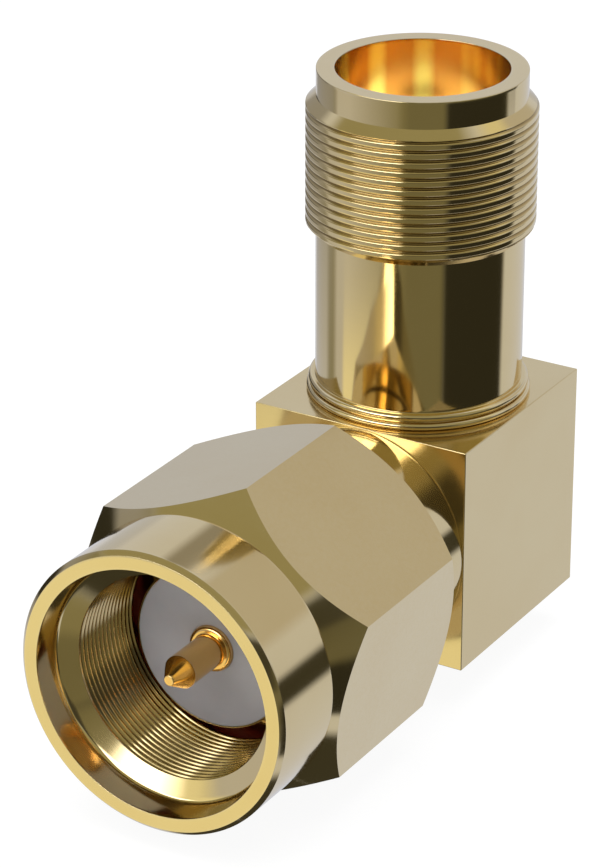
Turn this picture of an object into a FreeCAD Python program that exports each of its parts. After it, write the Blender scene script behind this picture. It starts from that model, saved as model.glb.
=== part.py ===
import FreeCAD, Part
import math
import os

# Right-angle coaxial adapter, millimetres.
# The origin is the centre of the block's bottom face. The jack's axis is +Z through the origin,
# and the plug points towards -Y on an axis at half the block's height.

# Elbow block
BLOCK = 6.5
BLOCK_EDGE_BREAK = 0.05
CAVITY_CLEARANCE = 0.5
CORNER_WEB = 0.1

# Insulators of both arms, and the ledges in the block that they stop on
INSULATOR_RADIUS = 2.05
INSULATOR_LEDGE = 0.55
INSULATOR_END_GAP = 0.15
INSULATOR_HEAD_LENGTH = 0.4

# Spigots of both arms, pressed into the block
SPIGOT_WALL = 0.4

# Rear cap
CAP_LEDGE = 0.3
CAP_THICKNESS = 0.9
CAP_EDGE_BREAK = 0.08

# Jack barrel, from the block's top face upwards
UPPER_BEAD_RADIUS = 3.015
LOWER_BEAD_RADIUS = 3.07
BEAD_HEIGHT = 0.2
BEAD_BEVEL = 0.07
BEAD_GAP = 0.03
BEAD_GAP_DEPTH = 0.11
BARREL_LENGTH = 4.26
JACK_THREAD_RADIUS = 3.11
THREAD_DEPTH = 0.28
JACK_THREAD_LENGTH = 3.54
JACK_THREAD_RUN_IN = 0.25
JACK_THREAD_BEVEL = 0.24
JACK_BORE_RADIUS = 2.332
JACK_BORE_DEPTH = 2.3
LIP_WALL = 0.498
LIP_LENGTH = 0.738
LIP_EDGE_BREAK = 0.03

# Centre contacts
CONTACT_RADIUS = 0.635
CONTACT_COLLAR_STEP = 0.215
CONTACT_COLLAR_LENGTH = 0.5
PIN_RADIUS = 0.456
PIN_LENGTH = 2.043
PIN_POINT_LENGTH = 0.532
PIN_TIP_RADIUS = 0.14
PIN_SHOULDER = 0.14
PIN_SHOULDER_BEVEL = 0.07
SOCKET_CLEARANCE = 0.009
SOCKET_DEPTH = 2.4
SOCKET_BREAK = 0.05
SLOT_WIDTH = 0.12
SLOT_LENGTH = 1.9
CONTACT_END_WALL = 0.43

# Tail of the plug contact in the jack contact's cross hole, and its solder
TAIL_RADIUS = 0.25
TAIL_CLEARANCE = 0.02
TAIL_STEP_CLEARANCE = 0.1
TAIL_STICK_OUT = 0.315
SOLDER_FILLET = 0.2
SOLDER_OUTSIDE = 0.15
SOLDER_INSIDE = 0.3

# Plug body, from the block's front face outwards
FERRULE_WALL = 0.214
FERRULE_RIM = 0.054
FERRULE_LENGTH = 2.817
FERRULE_EDGE_BREAK = 0.03
HUB_RADIUS = 2.85
HUB_LENGTH = 2.9
HUB_EDGE_BREAK = 0.1
FLANGE_STEP = 0.37
FLANGE_LENGTH = 1.75
FLANGE_EDGE_BREAK = 0.04

# Retaining ring and the grooves it sits in
RING_FROM_NUT_REAR = 0.73
RING_NUT_OVERLAP = 0.25
RING_WIDTH = 0.48
RING_THICKNESS = 0.5
RING_SPLIT = 0.7
RING_END_PLAY = 0.05
RING_SPRING_ROOM = 0.32
RING_NUT_ROOM = 0.2

# Gasket
GASKET_CLEARANCE = 0.02
GASKET_WIDTH = 0.496
GASKET_LENGTH = 0.6
GASKET_BEVEL = 0.08

# Coupling nut, from its rear face outwards
NUT_GAP = 0.22
NUT_RUNNING_CLEARANCE = 0.05
NUT_LENGTH = 8.435
HEX_ACROSS_FLATS = 8.0
HEX_TURN = 20.0
HEX_BEVEL_STEP = 0.03
HEX_BEVEL_ANGLE = 47.0
COLLAR_WALL = 0.496
COLLAR_LENGTH = 2.405
COLLAR_ROOT_LENGTH = 0.27
COLLAR_EDGE_BREAK = 0.12
MOUTH_DEPTH = 0.855
MOUTH_FLARE = 0.178
COUNTERSINK_DEPTH = 0.2
COUNTERSINK_STEP = 0.4
NUT_THREAD_LENGTH = 2.5
RELIEF_CLEARANCE = 0.04
RELIEF_LENGTH = 2.9

# Radii worked out from the sizes above
SPIGOT_RADIUS = INSULATOR_RADIUS + SPIGOT_WALL
CAVITY_RADIUS = INSULATOR_RADIUS - INSULATOR_LEDGE
CAP_RADIUS = CAVITY_RADIUS + CAP_LEDGE
BARREL_RADIUS = JACK_THREAD_RADIUS - THREAD_DEPTH
LIP_RADIUS = JACK_BORE_RADIUS + LIP_WALL
CONTACT_COLLAR_RADIUS = CONTACT_RADIUS + CONTACT_COLLAR_STEP
SOCKET_RADIUS = PIN_RADIUS + SOCKET_CLEARANCE
TAIL_HOLE_RADIUS = TAIL_RADIUS + TAIL_CLEARANCE
FERRULE_RADIUS = INSULATOR_RADIUS + FERRULE_WALL
INSULATOR_HEAD_RADIUS = FERRULE_RADIUS - FERRULE_RIM
FLANGE_RADIUS = HUB_RADIUS + FLANGE_STEP
NUT_BORE_RADIUS = HUB_RADIUS + NUT_RUNNING_CLEARANCE
RING_OUTER_RADIUS = NUT_BORE_RADIUS + RING_NUT_OVERLAP
RING_INNER_RADIUS = RING_OUTER_RADIUS - RING_WIDTH
HUB_GROOVE_RADIUS = RING_INNER_RADIUS - RING_SPRING_ROOM
NUT_GROOVE_RADIUS = RING_OUTER_RADIUS + RING_NUT_ROOM
GASKET_INNER_RADIUS = FERRULE_RADIUS + GASKET_CLEARANCE
GASKET_OUTER_RADIUS = GASKET_INNER_RADIUS + GASKET_WIDTH
NUT_THREAD_RADIUS = JACK_THREAD_RADIUS - THREAD_DEPTH
RELIEF_RADIUS = JACK_THREAD_RADIUS + RELIEF_CLEARANCE
MOUTH_FLOOR_RADIUS = NUT_THREAD_RADIUS + COUNTERSINK_STEP
MOUTH_RADIUS = MOUTH_FLOOR_RADIUS + MOUTH_FLARE
COLLAR_RADIUS = MOUTH_RADIUS + COLLAR_WALL
HEX_CORNER_RADIUS = HEX_ACROSS_FLATS / 2 / math.cos(math.radians(30))
HEX_BEVEL_RADIUS = HEX_ACROSS_FLATS / 2 - HEX_BEVEL_STEP

# Places along the two axes, counted from the point where they meet
HALF_BLOCK = BLOCK / 2
PLUG_HEIGHT = HALF_BLOCK
SPIGOT_STOP = SPIGOT_RADIUS + CORNER_WEB
INSULATOR_STOP = INSULATOR_RADIUS + INSULATOR_END_GAP
POCKET_END = INSULATOR_STOP + CONTACT_COLLAR_LENGTH
FOOT_TOP = HALF_BLOCK + 2 * BEAD_HEIGHT + BEAD_GAP
BARREL_TOP = FOOT_TOP + BARREL_LENGTH
THREAD_TOP = BARREL_TOP + JACK_THREAD_LENGTH
LIP_BOTTOM = THREAD_TOP + JACK_THREAD_BEVEL
JACK_TOP = LIP_BOTTOM + LIP_LENGTH
JACK_REFERENCE = JACK_TOP - JACK_BORE_DEPTH
JACK_CONTACT_END = -TAIL_HOLE_RADIUS - CONTACT_END_WALL
CAVITY_END = JACK_CONTACT_END - CAVITY_CLEARANCE
CAP_FLOOR = -HALF_BLOCK + CAP_THICKNESS
FLANGE_FRONT = HALF_BLOCK + FLANGE_LENGTH
HUB_FRONT = FLANGE_FRONT + HUB_LENGTH
PLUG_REFERENCE = HUB_FRONT + FERRULE_LENGTH
PIN_END = PLUG_REFERENCE + PIN_LENGTH
NUT_REAR = FLANGE_FRONT + NUT_GAP
NUT_FRONT = NUT_REAR + NUT_LENGTH
COLLAR_ROOT = NUT_FRONT - COLLAR_LENGTH
HEX_FRONT = COLLAR_ROOT - COLLAR_ROOT_LENGTH
NUT_THREAD_FRONT = NUT_FRONT - MOUTH_DEPTH - COUNTERSINK_DEPTH
NUT_THREAD_REAR = NUT_THREAD_FRONT - NUT_THREAD_LENGTH
RING_REAR = NUT_REAR + RING_FROM_NUT_REAR
RING_FRONT = RING_REAR + RING_THICKNESS

# How far a cutting shape runs past the face that it cuts
OVERRUN = 1.0

PARTS_FOLDER = "parts"


def outline(corners):
    """Closed wire in the XZ plane through (radius, height) corners."""
    points = [FreeCAD.Vector(radius, 0, height) for radius, height in corners]
    return Part.makePolygon(points + points[:1])


def lathe(corners):
    """Solid turned about the Z axis from a half section of (radius, height) corners."""
    section = Part.Face(outline(corners))
    return section.revolve(FreeCAD.Vector(0, 0, 0), FreeCAD.Vector(0, 0, 1), 360)


def on_jack(shape):
    """Stand a shape turned about Z on the jack's axis, heights counted from the plug's axis."""
    placed = shape.copy()
    placed.translate(FreeCAD.Vector(0, 0, PLUG_HEIGHT))
    return placed


def on_plug(shape):
    """Lay a shape turned about Z along the plug's axis, heights counted from the jack's axis."""
    placed = shape.copy()
    placed.rotate(FreeCAD.Vector(0, 0, 0), FreeCAD.Vector(1, 0, 0), 90)
    placed.translate(FreeCAD.Vector(0, 0, PLUG_HEIGHT))
    return placed


def rod(radius, low, high):
    """Plain cylinder about Z between two heights."""
    return Part.makeCylinder(radius, high - low, FreeCAD.Vector(0, 0, low))


def arm_bore():
    """Stepped bore for one arm: air cavity, insulator seat and spigot seat."""
    return lathe([
        (0, CAVITY_END),
        (CAVITY_RADIUS, CAVITY_END),
        (CAVITY_RADIUS, INSULATOR_STOP),
        (INSULATOR_RADIUS, INSULATOR_STOP),
        (INSULATOR_RADIUS, SPIGOT_STOP),
        (SPIGOT_RADIUS, SPIGOT_STOP),
        (SPIGOT_RADIUS, HALF_BLOCK + OVERRUN),
        (0, HALF_BLOCK + OVERRUN),
    ])


def elbow_block():
    """Milled cube with two arm bores that meet and an access hole in its back."""
    cube = Part.makeBox(BLOCK, BLOCK, BLOCK, FreeCAD.Vector(-HALF_BLOCK, -HALF_BLOCK, 0))
    cube = cube.makeChamfer(BLOCK_EDGE_BREAK, cube.Edges)
    access = rod(CAVITY_RADIUS, -HALF_BLOCK - OVERRUN, 0)
    cap_seat = rod(CAP_RADIUS, -HALF_BLOCK - OVERRUN, CAP_FLOOR)
    holes = on_jack(arm_bore()).multiFuse([on_plug(arm_bore()), on_plug(access), on_plug(cap_seat)])
    return cube.cut(holes)


def rear_cap():
    """Flat disc pressed in flush with the back of the block."""
    return on_plug(lathe([
        (0, -HALF_BLOCK),
        (CAP_RADIUS - CAP_EDGE_BREAK, -HALF_BLOCK),
        (CAP_RADIUS, -HALF_BLOCK + CAP_EDGE_BREAK),
        (CAP_RADIUS, CAP_FLOOR),
        (0, CAP_FLOOR),
    ]))


def bead(radius, bottom):
    """Corners of one foot bead, a narrow ridge with bevelled edges, from its bottom upwards."""
    top = bottom + BEAD_HEIGHT
    return [
        (radius - BEAD_BEVEL, bottom),
        (radius, bottom + BEAD_BEVEL),
        (radius, top - BEAD_BEVEL),
        (radius - BEAD_BEVEL, top),
    ]


def jack_barrel():
    """Turned jack: spigot, two foot beads, plain barrel, thread over its crests, lip and bore."""
    gap_bottom = HALF_BLOCK + BEAD_HEIGHT
    gap_top = gap_bottom + BEAD_GAP
    corners = [
        (INSULATOR_RADIUS, SPIGOT_STOP),
        (SPIGOT_RADIUS, SPIGOT_STOP),
        (SPIGOT_RADIUS, HALF_BLOCK),
    ]
    corners += bead(LOWER_BEAD_RADIUS, HALF_BLOCK)
    corners += [
        (UPPER_BEAD_RADIUS - BEAD_GAP_DEPTH, gap_bottom),
        (UPPER_BEAD_RADIUS - BEAD_GAP_DEPTH, gap_top),
    ]
    corners += bead(UPPER_BEAD_RADIUS, gap_top)
    corners += [
        (BARREL_RADIUS, FOOT_TOP),
        (BARREL_RADIUS, BARREL_TOP),
        (JACK_THREAD_RADIUS, BARREL_TOP + JACK_THREAD_RUN_IN),
        (JACK_THREAD_RADIUS, THREAD_TOP),
        (LIP_RADIUS, LIP_BOTTOM),
        (LIP_RADIUS, JACK_TOP - LIP_EDGE_BREAK),
        (LIP_RADIUS - LIP_EDGE_BREAK, JACK_TOP),
        (JACK_BORE_RADIUS + LIP_EDGE_BREAK, JACK_TOP),
        (JACK_BORE_RADIUS, JACK_TOP - LIP_EDGE_BREAK),
        (JACK_BORE_RADIUS, JACK_REFERENCE),
        (INSULATOR_RADIUS, JACK_REFERENCE),
    ]
    return on_jack(lathe(corners))


def jack_insulator():
    """Plastic sleeve from the jack's reference plane down to the ledge in the block."""
    return on_jack(lathe([
        (CONTACT_COLLAR_RADIUS, INSULATOR_STOP),
        (INSULATOR_RADIUS, INSULATOR_STOP),
        (INSULATOR_RADIUS, JACK_REFERENCE),
        (CONTACT_RADIUS, JACK_REFERENCE),
        (CONTACT_RADIUS, POCKET_END),
        (CONTACT_COLLAR_RADIUS, POCKET_END),
    ]))


def jack_contact():
    """Socket contact with four spring fingers and a cross hole for the plug contact's tail."""
    contact = lathe([
        (0, JACK_CONTACT_END),
        (CONTACT_RADIUS, JACK_CONTACT_END),
        (CONTACT_RADIUS, INSULATOR_STOP),
        (CONTACT_COLLAR_RADIUS, INSULATOR_STOP),
        (CONTACT_COLLAR_RADIUS, POCKET_END),
        (CONTACT_RADIUS, POCKET_END),
        (CONTACT_RADIUS, JACK_REFERENCE),
        (SOCKET_RADIUS + SOCKET_BREAK, JACK_REFERENCE),
        (SOCKET_RADIUS, JACK_REFERENCE - SOCKET_BREAK),
        (SOCKET_RADIUS, JACK_REFERENCE - SOCKET_DEPTH),
        (0, JACK_REFERENCE - SOCKET_DEPTH),
    ])
    slot_span = 2 * CONTACT_RADIUS + OVERRUN
    slot_corner = FreeCAD.Vector(-slot_span / 2, -SLOT_WIDTH / 2, JACK_REFERENCE - SLOT_LENGTH)
    slot = Part.makeBox(slot_span, SLOT_WIDTH, SLOT_LENGTH + OVERRUN, slot_corner)
    for angle in (45, 135):
        cutter = slot.copy()
        cutter.rotate(FreeCAD.Vector(0, 0, 0), FreeCAD.Vector(0, 0, 1), angle)
        contact = contact.cut(cutter)
    cross_hole = on_plug(rod(TAIL_HOLE_RADIUS, -slot_span / 2, slot_span / 2))
    return on_jack(contact).cut(cross_hole)


def plug_body():
    """Turned plug shell: spigot, flange, grooved hub and the thin front tube."""
    return on_plug(lathe([
        (INSULATOR_RADIUS, SPIGOT_STOP),
        (SPIGOT_RADIUS, SPIGOT_STOP),
        (SPIGOT_RADIUS, HALF_BLOCK),
        (FLANGE_RADIUS, HALF_BLOCK),
        (FLANGE_RADIUS, FLANGE_FRONT - FLANGE_EDGE_BREAK),
        (FLANGE_RADIUS - FLANGE_EDGE_BREAK, FLANGE_FRONT),
        (HUB_RADIUS, FLANGE_FRONT),
        (HUB_RADIUS, RING_REAR - RING_END_PLAY),
        (HUB_GROOVE_RADIUS, RING_REAR - RING_END_PLAY),
        (HUB_GROOVE_RADIUS, RING_FRONT + RING_END_PLAY),
        (HUB_RADIUS, RING_FRONT + RING_END_PLAY),
        (HUB_RADIUS, HUB_FRONT - HUB_EDGE_BREAK),
        (HUB_RADIUS - HUB_EDGE_BREAK, HUB_FRONT),
        (FERRULE_RADIUS, HUB_FRONT),
        (FERRULE_RADIUS, PLUG_REFERENCE - FERRULE_EDGE_BREAK),
        (FERRULE_RADIUS - FERRULE_EDGE_BREAK, PLUG_REFERENCE),
        (INSULATOR_HEAD_RADIUS, PLUG_REFERENCE),
        (INSULATOR_HEAD_RADIUS, PLUG_REFERENCE - INSULATOR_HEAD_LENGTH),
        (INSULATOR_RADIUS, PLUG_REFERENCE - INSULATOR_HEAD_LENGTH),
    ]))


def plug_insulator():
    """Plastic sleeve with a thin head that fills the mouth of the front tube."""
    return on_plug(lathe([
        (CONTACT_COLLAR_RADIUS, INSULATOR_STOP),
        (INSULATOR_RADIUS, INSULATOR_STOP),
        (INSULATOR_RADIUS, PLUG_REFERENCE - INSULATOR_HEAD_LENGTH),
        (INSULATOR_HEAD_RADIUS, PLUG_REFERENCE - INSULATOR_HEAD_LENGTH),
        (INSULATOR_HEAD_RADIUS, PLUG_REFERENCE),
        (CONTACT_RADIUS, PLUG_REFERENCE),
        (CONTACT_RADIUS, POCKET_END),
        (CONTACT_COLLAR_RADIUS, POCKET_END),
    ]))


def plug_contact():
    """Centre pin with a bevelled shoulder, a captive collar and a thin tail."""
    tail_end = -CONTACT_RADIUS - TAIL_STICK_OUT
    tail_step = CONTACT_RADIUS + TAIL_STEP_CLEARANCE
    shoulder = PLUG_REFERENCE + PIN_SHOULDER
    return on_plug(lathe([
        (0, tail_end),
        (TAIL_RADIUS, tail_end),
        (TAIL_RADIUS, tail_step),
        (CONTACT_RADIUS, tail_step),
        (CONTACT_RADIUS, INSULATOR_STOP),
        (CONTACT_COLLAR_RADIUS, INSULATOR_STOP),
        (CONTACT_COLLAR_RADIUS, POCKET_END),
        (CONTACT_RADIUS, POCKET_END),
        (CONTACT_RADIUS, shoulder - PIN_SHOULDER_BEVEL),
        (CONTACT_RADIUS - PIN_SHOULDER_BEVEL, shoulder),
        (PIN_RADIUS, shoulder),
        (PIN_RADIUS, PIN_END - PIN_POINT_LENGTH),
        (PIN_TIP_RADIUS, PIN_END),
        (0, PIN_END),
    ]))


def solder_joint():
    """Fillet of solder round the tail where it leaves the back of the jack contact."""
    solder_radius = TAIL_RADIUS + SOLDER_FILLET
    fillet = on_plug(lathe([
        (TAIL_RADIUS, -CONTACT_RADIUS - SOLDER_OUTSIDE),
        (solder_radius, -CONTACT_RADIUS),
        (solder_radius, -CONTACT_RADIUS + SOLDER_INSIDE),
        (TAIL_RADIUS, -CONTACT_RADIUS + SOLDER_INSIDE),
    ]))
    return fillet.cut(on_jack(rod(CONTACT_RADIUS, JACK_CONTACT_END, INSULATOR_STOP)))


def gasket():
    """Rubber ring on the front tube, against the hub, that the mating jack's lip presses on."""
    front = HUB_FRONT + GASKET_LENGTH
    return on_plug(lathe([
        (GASKET_INNER_RADIUS, HUB_FRONT),
        (GASKET_OUTER_RADIUS, HUB_FRONT),
        (GASKET_OUTER_RADIUS, front - GASKET_BEVEL),
        (GASKET_OUTER_RADIUS - GASKET_BEVEL, front),
        (GASKET_INNER_RADIUS + GASKET_BEVEL, front),
        (GASKET_INNER_RADIUS, front - GASKET_BEVEL),
    ]))


def retaining_ring():
    """Split spring ring that sits half in the hub's groove and half in the nut's."""
    ring = lathe([
        (RING_INNER_RADIUS, RING_REAR),
        (RING_OUTER_RADIUS, RING_REAR),
        (RING_OUTER_RADIUS, RING_FRONT),
        (RING_INNER_RADIUS, RING_FRONT),
    ])
    split_corner = FreeCAD.Vector(-RING_SPLIT / 2, 0, RING_REAR - OVERRUN)
    split_length = RING_THICKNESS + 2 * OVERRUN
    split = Part.makeBox(RING_SPLIT, RING_OUTER_RADIUS + OVERRUN, split_length, split_corner)
    return on_plug(ring.cut(split))


def hexagon_bar(low, high):
    """Six-sided bar about Z, turned so that its corners lie where the photographed nut's do."""
    corners = []
    for index in range(6):
        angle = math.radians(HEX_TURN + 60 * index)
        across = HEX_CORNER_RADIUS * math.cos(angle)
        along = HEX_CORNER_RADIUS * math.sin(angle)
        corners.append(FreeCAD.Vector(across, along, low))
    outline_of_bar = Part.makePolygon(corners + corners[:1])
    return Part.Face(outline_of_bar).extrude(FreeCAD.Vector(0, 0, high - low))


def bevelled_hexagon():
    """Hexagonal part of the nut, with the conical bevels that a lathe leaves on its corners."""
    blank_radius = HEX_CORNER_RADIUS + OVERRUN
    bevel_length = (blank_radius - HEX_BEVEL_RADIUS) * math.tan(math.radians(HEX_BEVEL_ANGLE))
    turned = lathe([
        (0, NUT_REAR),
        (HEX_BEVEL_RADIUS, NUT_REAR),
        (blank_radius, NUT_REAR + bevel_length),
        (blank_radius, HEX_FRONT - bevel_length),
        (HEX_BEVEL_RADIUS, HEX_FRONT),
        (0, HEX_FRONT),
    ])
    return turned.common(hexagon_bar(NUT_REAR - OVERRUN, HEX_FRONT + OVERRUN))


def nut_collar():
    """Round front part of the nut, with a short cone at its root and a bevelled front edge."""
    return lathe([
        (0, HEX_FRONT),
        (HEX_BEVEL_RADIUS, HEX_FRONT),
        (COLLAR_RADIUS, COLLAR_ROOT),
        (COLLAR_RADIUS, NUT_FRONT - COLLAR_EDGE_BREAK),
        (COLLAR_RADIUS - COLLAR_EDGE_BREAK, NUT_FRONT),
        (0, NUT_FRONT),
    ])


def nut_bore():
    """Everything that is bored out of the nut: hub bore, ring groove, relief, thread and mouth."""
    overrun_flare = MOUTH_FLARE * OVERRUN / MOUTH_DEPTH
    return lathe([
        (0, NUT_REAR - OVERRUN),
        (NUT_BORE_RADIUS, NUT_REAR - OVERRUN),
        (NUT_BORE_RADIUS, RING_REAR - RING_END_PLAY),
        (NUT_GROOVE_RADIUS, RING_REAR - RING_END_PLAY),
        (NUT_GROOVE_RADIUS, RING_FRONT + RING_END_PLAY),
        (NUT_BORE_RADIUS, RING_FRONT + RING_END_PLAY),
        (NUT_BORE_RADIUS, NUT_THREAD_REAR - RELIEF_LENGTH),
        (RELIEF_RADIUS, NUT_THREAD_REAR - RELIEF_LENGTH),
        (RELIEF_RADIUS, NUT_THREAD_REAR),
        (NUT_THREAD_RADIUS, NUT_THREAD_REAR),
        (NUT_THREAD_RADIUS, NUT_THREAD_FRONT),
        (MOUTH_FLOOR_RADIUS, NUT_THREAD_FRONT + COUNTERSINK_DEPTH),
        (MOUTH_RADIUS + overrun_flare, NUT_FRONT + OVERRUN),
        (0, NUT_FRONT + OVERRUN),
    ])


def coupling_nut():
    """Coupling nut: bevelled hexagon and round collar in one piece, bored through."""
    return on_plug(bevelled_hexagon().fuse(nut_collar()).cut(nut_bore()))


PIECES = {
    "elbow_block": elbow_block,
    "rear_cap": rear_cap,
    "jack_barrel": jack_barrel,
    "jack_insulator": jack_insulator,
    "jack_contact": jack_contact,
    "plug_body": plug_body,
    "plug_insulator": plug_insulator,
    "plug_contact": plug_contact,
    "solder_joint": solder_joint,
    "gasket": gasket,
    "retaining_ring": retaining_ring,
    "coupling_nut": coupling_nut,
}


def main():
    os.makedirs(PARTS_FOLDER, exist_ok=True)
    for name, make in PIECES.items():
        shape = make()
        shape.exportStep(os.path.join(PARTS_FOLDER, name + ".step"))
        print(name, len(shape.Solids), "solid,", round(shape.Volume, 3), "mm3")


main()
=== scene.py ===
import math

import bmesh
import bpy
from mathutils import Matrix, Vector


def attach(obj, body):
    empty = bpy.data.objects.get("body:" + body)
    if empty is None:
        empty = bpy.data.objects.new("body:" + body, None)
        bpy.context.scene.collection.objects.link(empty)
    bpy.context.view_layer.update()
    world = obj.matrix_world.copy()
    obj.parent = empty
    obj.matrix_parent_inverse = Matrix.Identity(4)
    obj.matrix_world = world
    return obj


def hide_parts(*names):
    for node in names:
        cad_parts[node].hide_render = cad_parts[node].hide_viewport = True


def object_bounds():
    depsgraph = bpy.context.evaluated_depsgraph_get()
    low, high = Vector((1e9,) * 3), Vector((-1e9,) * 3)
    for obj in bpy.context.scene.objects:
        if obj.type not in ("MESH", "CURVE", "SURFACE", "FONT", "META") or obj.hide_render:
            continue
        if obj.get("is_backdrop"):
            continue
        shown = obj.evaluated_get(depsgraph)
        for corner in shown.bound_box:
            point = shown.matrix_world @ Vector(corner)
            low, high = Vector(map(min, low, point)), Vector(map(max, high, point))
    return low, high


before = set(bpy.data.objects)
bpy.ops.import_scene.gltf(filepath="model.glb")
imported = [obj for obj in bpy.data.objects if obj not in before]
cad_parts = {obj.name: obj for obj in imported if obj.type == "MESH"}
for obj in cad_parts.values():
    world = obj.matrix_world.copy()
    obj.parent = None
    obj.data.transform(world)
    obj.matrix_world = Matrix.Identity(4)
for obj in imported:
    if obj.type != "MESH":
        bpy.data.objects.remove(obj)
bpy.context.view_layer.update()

# Right-angle coaxial adapter: turned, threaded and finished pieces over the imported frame.
# Sizes are in millimetres, and MM turns them into metres where a mesh is made. The jack's axis is
# +Z, the plug's axis is -Y at PLUG_HEIGHT, and heights along both count from where they meet.

MM = 0.001

# Block
PLUG_HEIGHT = 3.25
HALF_BLOCK = 3.25
BLOCK_ROUNDING = 0.025
BLOCK_ROUNDING_STEPS = 3
CAVITY_RADIUS = 1.5
CAVITY_END = -1.2

# Jack
INSULATOR_RADIUS = 2.05
SPIGOT_RADIUS = 2.45
SPIGOT_STOP = 2.55
UPPER_BEAD_RADIUS = 3.015
LOWER_BEAD_RADIUS = 3.07
BEAD_WAIST = 2.905
LOWER_BEAD_TOP = 3.45
UPPER_BEAD_BOTTOM = 3.48
FOOT_TOP = 3.68
BEAD_ROUNDING = 0.095
BARREL_RADIUS = 2.83
BARREL_TOP = 7.94
THREAD_RADIUS = 3.11
THREAD_RUN_IN = 0.25
THREAD_TOP = 11.48
LIP_BOTTOM = 11.72
JACK_TOP = 12.458
JACK_BORE_RADIUS = 2.332
JACK_REFERENCE = 10.158
BORE_BRIGHT_EDGE = 0.045
BORE_TOLERANCE = 0.001

# Jack's thread: the height of a groove on the side that faces -Y, a groove's depth, and half its
# width as a share of the pitch
JACK_PITCH = 0.254
JACK_GROOVE = 8.37
JACK_GROOVE_DEPTH = 0.065
JACK_GROOVE_REACH = 0.28

# Contacts and insulators
INSULATOR_STOP = 2.2
POCKET_END = 2.7
CONTACT_RADIUS = 0.635
COLLAR_STEP_RADIUS = 0.85
SOCKET_RADIUS = 0.465
SOCKET_DEPTH = 2.4
SOCKET_BREAK = 0.05
SLOT_WIDTH = 0.12
SLOT_LENGTH = 1.9
SLOT_ANGLES = (45, 135)
SLOT_CUT_LENGTH = 3.0
CUT_OVERRUN = 1.0
JACK_CONTACT_END = -0.7
TAIL_RADIUS = 0.25
TAIL_HOLE_RADIUS = 0.27
TAIL_HOLE_REACH = 1.5
TAIL_END = -0.95
TAIL_STEP = 0.735
TAIL_ROUNDING = 0.04
PIN_RADIUS = 0.456
PIN_END = 12.76
PIN_POINT = 12.228
PIN_TIP_RADIUS = 0.14
PIN_SHOULDER = 10.857

# Plug body
FLANGE_RADIUS = 3.22
FLANGE_FRONT = 5.0
HUB_RADIUS = 2.85
HUB_FRONT = 7.9
HUB_GROOVE_RADIUS = 2.35
FERRULE_RADIUS = 2.264
PLUG_REFERENCE = 10.717
HEAD_RADIUS = 2.21
HEAD_LENGTH = 0.4
RING_REAR = 5.95
RING_FRONT = 6.45
RING_PLAY = 0.05
GASKET_INNER_RADIUS = 2.284
GASKET_OUTER_RADIUS = 2.78
GASKET_LENGTH = 0.6
GASKET_ROUNDING = 0.04
GASKET_LIP_ROUNDING = 0.14

# Rear cap
CAP_RADIUS = 1.8
CAP_FLOOR = -2.35
CAP_ROUNDING = 0.06

# Coupling nut
NUT_REAR = 5.22
NUT_FRONT = 13.655
NUT_BORE_RADIUS = 2.9
NUT_GROOVE_RADIUS = 3.35
RELIEF_REAR = 7.2
RELIEF_RADIUS = 3.15
MOUTH_CORNER = 12.86
MOUTH_WALL_RADIUS = 3.35
MOUTH_RADIUS = 3.408
MOUTH_ROUNDING = 0.15
COLLAR_RADIUS = 3.904
COLLAR_ROOT = 11.25
COLLAR_EDGE = 0.12
HEX_FRONT = 10.98
HEX_APOTHEM = 4.0
HEX_BEVEL_RADIUS = 3.97
HEX_BEVEL_SLOPE = math.tan(math.radians(47))
HEX_TURN = math.radians(20)
HEX_LEAD = 0.012
HEX_WEAR = 0.6
UNDERCUT_RADIUS = 3.79

# Nut's thread: its ends, the height of a groove, a groove's depth, how full it is (less than 1 is
# fuller) and the length over which it fades out at the thread's ends
NUT_THREAD_RADIUS = 2.83
NUT_THREAD_REAR = 10.1
NUT_THREAD_FRONT = 12.6
NUT_PITCH = 0.1745
NUT_GROOVE = 12.33
NUT_GROOVE_DEPTH = 0.075
NUT_GROOVE_FULLNESS = 0.8
NUT_THREAD_FADE = 0.06

# Roundings that many edges share
HAIR = 0.01
FINE = 0.02
SLIGHT = 0.03
SOFT = 0.05
BROAD = 0.1

# Fineness of the round forms: columns round an axis, steps in a rounding and in a thread's pitch
COLUMNS = 216
MEDIUM_COLUMNS = 144
PIN_COLUMNS = 128
COARSE_COLUMNS = 96
HOLE_COLUMNS = 48
ARC_STEPS = 5
JACK_THREAD_STEPS = 16
NUT_THREAD_STEPS = 12

# A groove's height is given for the place that lies this share of a turn before the rows' start
THREAD_START = 0.25

# Wear ends this far past a rounding, or at this share of a side that is short. It is left to the next
# corner where that point comes no further than this multiple of the rounding's own reach.
WEAR_REACH = 0.07
WEAR_SIDE_SHARE = 0.45
WEAR_MARGIN = 1.2

# Joining and shading of meshes, lengths in metres
MERGE_DISTANCE = 2e-7
SHORTEST_EDGE = 1e-7
SHARP_ANGLE = math.radians(38)
FLAT_WEIGHT = 60

# Camera: azimuth, elevation and distance from the point that it looks at, its lens and its reach
VIEW_AZIMUTH = math.radians(30.85)
VIEW_ELEVATION = math.radians(24.828)
VIEW_DISTANCE = 95.206
VIEW_TARGET = Vector((-0.175, -6.034, 7.374))
LENS = 151.26
SENSOR_WIDTH = 36
VIEW_NEAR = 0.005
VIEW_FAR = 5

# Metals: each has a second tint for its clouds
GOLD = (0.80, 0.65, 0.36)
GOLD_DEEP = (0.78, 0.62, 0.33)
RICH_GOLD = (0.93, 0.60, 0.22)
RICH_GOLD_DEEP = (0.89, 0.55, 0.18)
BRONZE = (0.72, 0.52, 0.34)
BRONZE_DEEP = (0.66, 0.46, 0.30)
SOLDER = (0.62, 0.62, 0.60)
SOLDER_DEEP = (0.55, 0.55, 0.54)

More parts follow.
